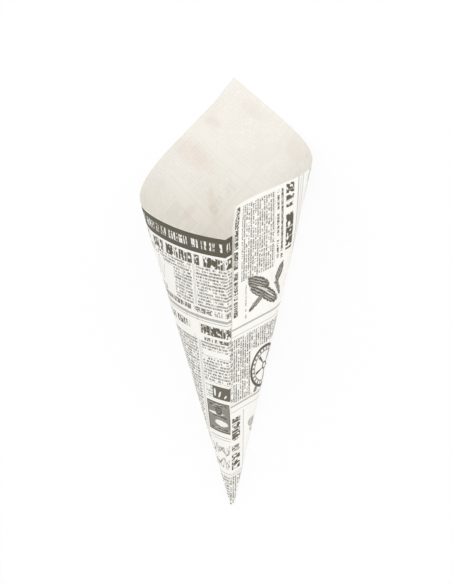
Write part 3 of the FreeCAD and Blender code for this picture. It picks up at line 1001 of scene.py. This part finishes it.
def paper_material(name, paper, base_colour, grain, newsprint=None, show=1.0, stains=None):
    """Greaseproof paper, printed on this side or showing the print of the other."""
    material, tree, shader = material_tree(name)
    shader.inputs["Roughness"].default_value = paper.roughness
    shader.inputs["Specular IOR Level"].default_value = 0.3
    place = sheet_place(tree)
    fibres = tree.call(grain, Place=place)
    clouded = tree.pair(fibres["Clouding"], fibres["Clouding"], fibres["Clouding"])
    result = tree.mix(1.0, (*base_colour, 1.0), clouded, "MULTIPLY")
    if stains is not None:
        mask = tree.times(tree.call(stains, Place=place)["Mask"], paper.stain_strength)
        result = tree.mix(mask, result, (*paper.stain, 1.0), "MULTIPLY")
    if newsprint is not None:
        ink = tree.times(tree.call(newsprint, Place=place)["Ink"], show)
        result = tree.mix(ink, result, (*paper.ink, 1.0))
    tree.feed(shader.inputs["Base Color"], result)
    bump = tree.node("ShaderNodeBump", inputs={
        "Strength": 0.35, "Distance": paper.grain, "Height": fibres["Fibre Height"]})
    tree.feed(shader.inputs["Normal"], bump.outputs[0])
    return material


def seen_plainly(tree):
    """Is 1 for what the camera sees, also off gloss or through glass, and 0 for light on the cup."""
    path = tree.node("ShaderNodeLightPath").outputs
    seen = tree.larger(path["Is Camera Ray"], path["Is Glossy Ray"])
    return tree.larger(seen, path["Is Transmission Ray"])


class ConeCupMakeSheet(bpy.types.Operator):
    """Roll the printed sheet into the cup"""
    bl_idname = "cone_cup.make_sheet"
    bl_label = "Roll Printed Sheet"

    def execute(self, context):
        sizes = context.scene.cone_cup_sheet
        paper = context.scene.cone_cup_paper
        grain = paper_grain_group()
        newsprint, blot_group = newsprint_group()
        stains = stain_group(blot_group)
        materials = [
            paper_material("Printed Side", paper, paper.outside, grain, newsprint),
            paper_material("Plain Side", paper, paper.inside, grain, newsprint, paper.show_through, stains),
            paper_material("Cut Edge", paper, paper.outside, grain),
        ]
        cup = RolledCup(sizes)
        flat = bpy.data.objects.new("flat_sheet", flat_sheet(cup))
        context.scene.collection.objects.link(flat)
        tree = roll_tree(materials)
        modifier = flat.modifiers.new("Roll the Sheet", "NODES")
        modifier.node_group = tree.tree
        values = {
            "Apex": cup.apex(),
            "Start Ruling": cup.start[0],
            "Start Across": cup.start[1],
            "Start Angle": cup.tail_start,
            "Ridge Turn": cup.ridge_turn,
            "Back Turn": cup.back_turn,
            "Apex Before Tip": sizes.apex_before,
            "Apex Beside Lap": sizes.apex_beside,
            "Wall": sizes.wall,
            "Ripple": sizes.ripple,
            "Ripple Size": sizes.ripple_size,
            "Mouth Reach": cup.right_reach,
            "Corner Curl": sizes.corner_curl,
            "Curl Reach": sizes.curl_reach,
        }
        for name, (spread, bend) in zip(PANEL_NAMES, cup.panels):
            values[f"{name} Spread"] = spread
            values[f"{name} Bend"] = bend
        for socket in tree.tree.interface.items_tree:
            if socket.in_out == "INPUT" and socket.name in values:
                modifier[socket.identifier] = values[socket.name]
        context.view_layer.update()
        rolled = flat.evaluated_get(context.evaluated_depsgraph_get())
        mesh = bpy.data.meshes.new_from_object(rolled)
        mesh.name = PIECE_NAME
        piece = bpy.data.objects.new(PIECE_NAME, mesh)
        context.scene.collection.objects.link(piece)
        bpy.data.objects.remove(flat)
        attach(piece, "root")
        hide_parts(CONE_NODE)
        return {"FINISHED"}


class ConeCupMakeStage(bpy.types.Operator):
    """Set the floor, the lamps and the camera"""
    bl_idname = "cone_cup.make_stage"
    bl_label = "Set Pale Studio"

    def execute(self, context):
        stage = context.scene.cone_cup_stage
        self.make_floor(context, stage)
        self.make_lamps(context)
        self.make_world(context, stage)
        lens = bpy.data.cameras.new("photo_camera")
        lens.lens = stage.lens
        lens.sensor_width = SENSOR_WIDTH
        camera = bpy.data.objects.new("photo_camera", lens)
        camera.location = stage.camera_place
        camera.rotation_euler = Euler(stage.camera_turn)
        context.scene.collection.objects.link(camera)
        context.scene.camera = camera
        context.scene.view_settings.view_transform = "Standard"
        return {"FINISHED"}

    @staticmethod
    def make_floor(context, stage):
        half = stage.floor_size / 2
        mesh = bpy.data.meshes.new("floor")
        corners = [(-half, -half, 0), (half, -half, 0), (half, half, 0), (-half, half, 0)]
        mesh.from_pydata(corners, [], [(0, 1, 2, 3)])
        floor = bpy.data.objects.new("floor", mesh)
        material, tree, shader = material_tree("Pale Floor")
        shader.inputs["Base Color"].default_value = (*stage.floor_colour, 1.0)
        shader.inputs["Roughness"].default_value = 0.9
        shader.inputs["Specular IOR Level"].default_value = 0.1
        seen = seen_plainly(tree)
        white = tree.node("ShaderNodeEmission", (1.0, 1.0, 1.0, 1.0), 1.0).outputs[0]
        share = tree.times(seen, stage.floor_whiteness)
        mixed = tree.node("ShaderNodeMixShader", share, shader.outputs[0], white).outputs[0]
        output = material.node_tree.nodes["Material Output"]
        tree.feed(output.inputs["Surface"], mixed)
        mesh.materials.append(material)
        context.scene.collection.objects.link(floor)

    @staticmethod
    def make_lamps(context):
        for name, place, size, power in LAMPS:
            light = bpy.data.lights.new(name, "AREA")
            light.size = size
            light.energy = power
            lamp = bpy.data.objects.new(name, light)
            lamp.location = place
            lamp.rotation_euler = (-Vector(place)).to_track_quat("-Z", "Y").to_euler()
            context.scene.collection.objects.link(lamp)

    @staticmethod
    def make_world(context, stage):
        world = bpy.data.worlds.new("pale_room")
        world.use_nodes = True
        tree = Tree(world.node_tree)
        seen = seen_plainly(tree)
        background = world.node_tree.nodes["Background"]
        background.inputs["Color"].default_value = (1.0, 1.0, 1.0, 1.0)
        tree.feed(background.inputs["Strength"], tree.ramp(seen, 0.0, 1.0, stage.room_light, 1.0))
        context.scene.world = world


class ConeCupPanel(bpy.types.Panel):
    """Lists the sizes, the colours and the buttons of the cone cup."""
    bl_idname = "VIEW3D_PT_cone_cup"
    bl_label = "Cone Cup"
    bl_space_type = "VIEW_3D"
    bl_region_type = "UI"
    bl_category = "Cone Cup"

    def draw(self, context):
        scene = context.scene
        for title, settings in (
                ("Sheet", scene.cone_cup_sheet), ("Paper", scene.cone_cup_paper),
                ("Stage", scene.cone_cup_stage)):
            box = self.layout.box()
            box.label(text=title)
            for name in settings.__annotations__:
                box.prop(settings, name)
        self.layout.operator(ConeCupMakeSheet.bl_idname)
        self.layout.operator(ConeCupMakeStage.bl_idname)


CLASSES = (*PROPERTY_GROUPS, ConeCupMakeSheet, ConeCupMakeStage, ConeCupPanel)


def register():
    for cls in CLASSES:
        bpy.utils.register_class(cls)
    bpy.types.Scene.cone_cup_sheet = bpy.props.PointerProperty(type=ConeCupSheet)
    bpy.types.Scene.cone_cup_paper = bpy.props.PointerProperty(type=ConeCupPaper)
    bpy.types.Scene.cone_cup_stage = bpy.props.PointerProperty(type=ConeCupStage)


def unregister():
    del bpy.types.Scene.cone_cup_stage
    del bpy.types.Scene.cone_cup_paper
    del bpy.types.Scene.cone_cup_sheet
    for cls in reversed(CLASSES):
        bpy.utils.unregister_class(cls)


def main():
    register()
    bpy.ops.cone_cup.make_sheet()
    bpy.ops.cone_cup.make_stage()


if __name__ == "__main__":
    main()
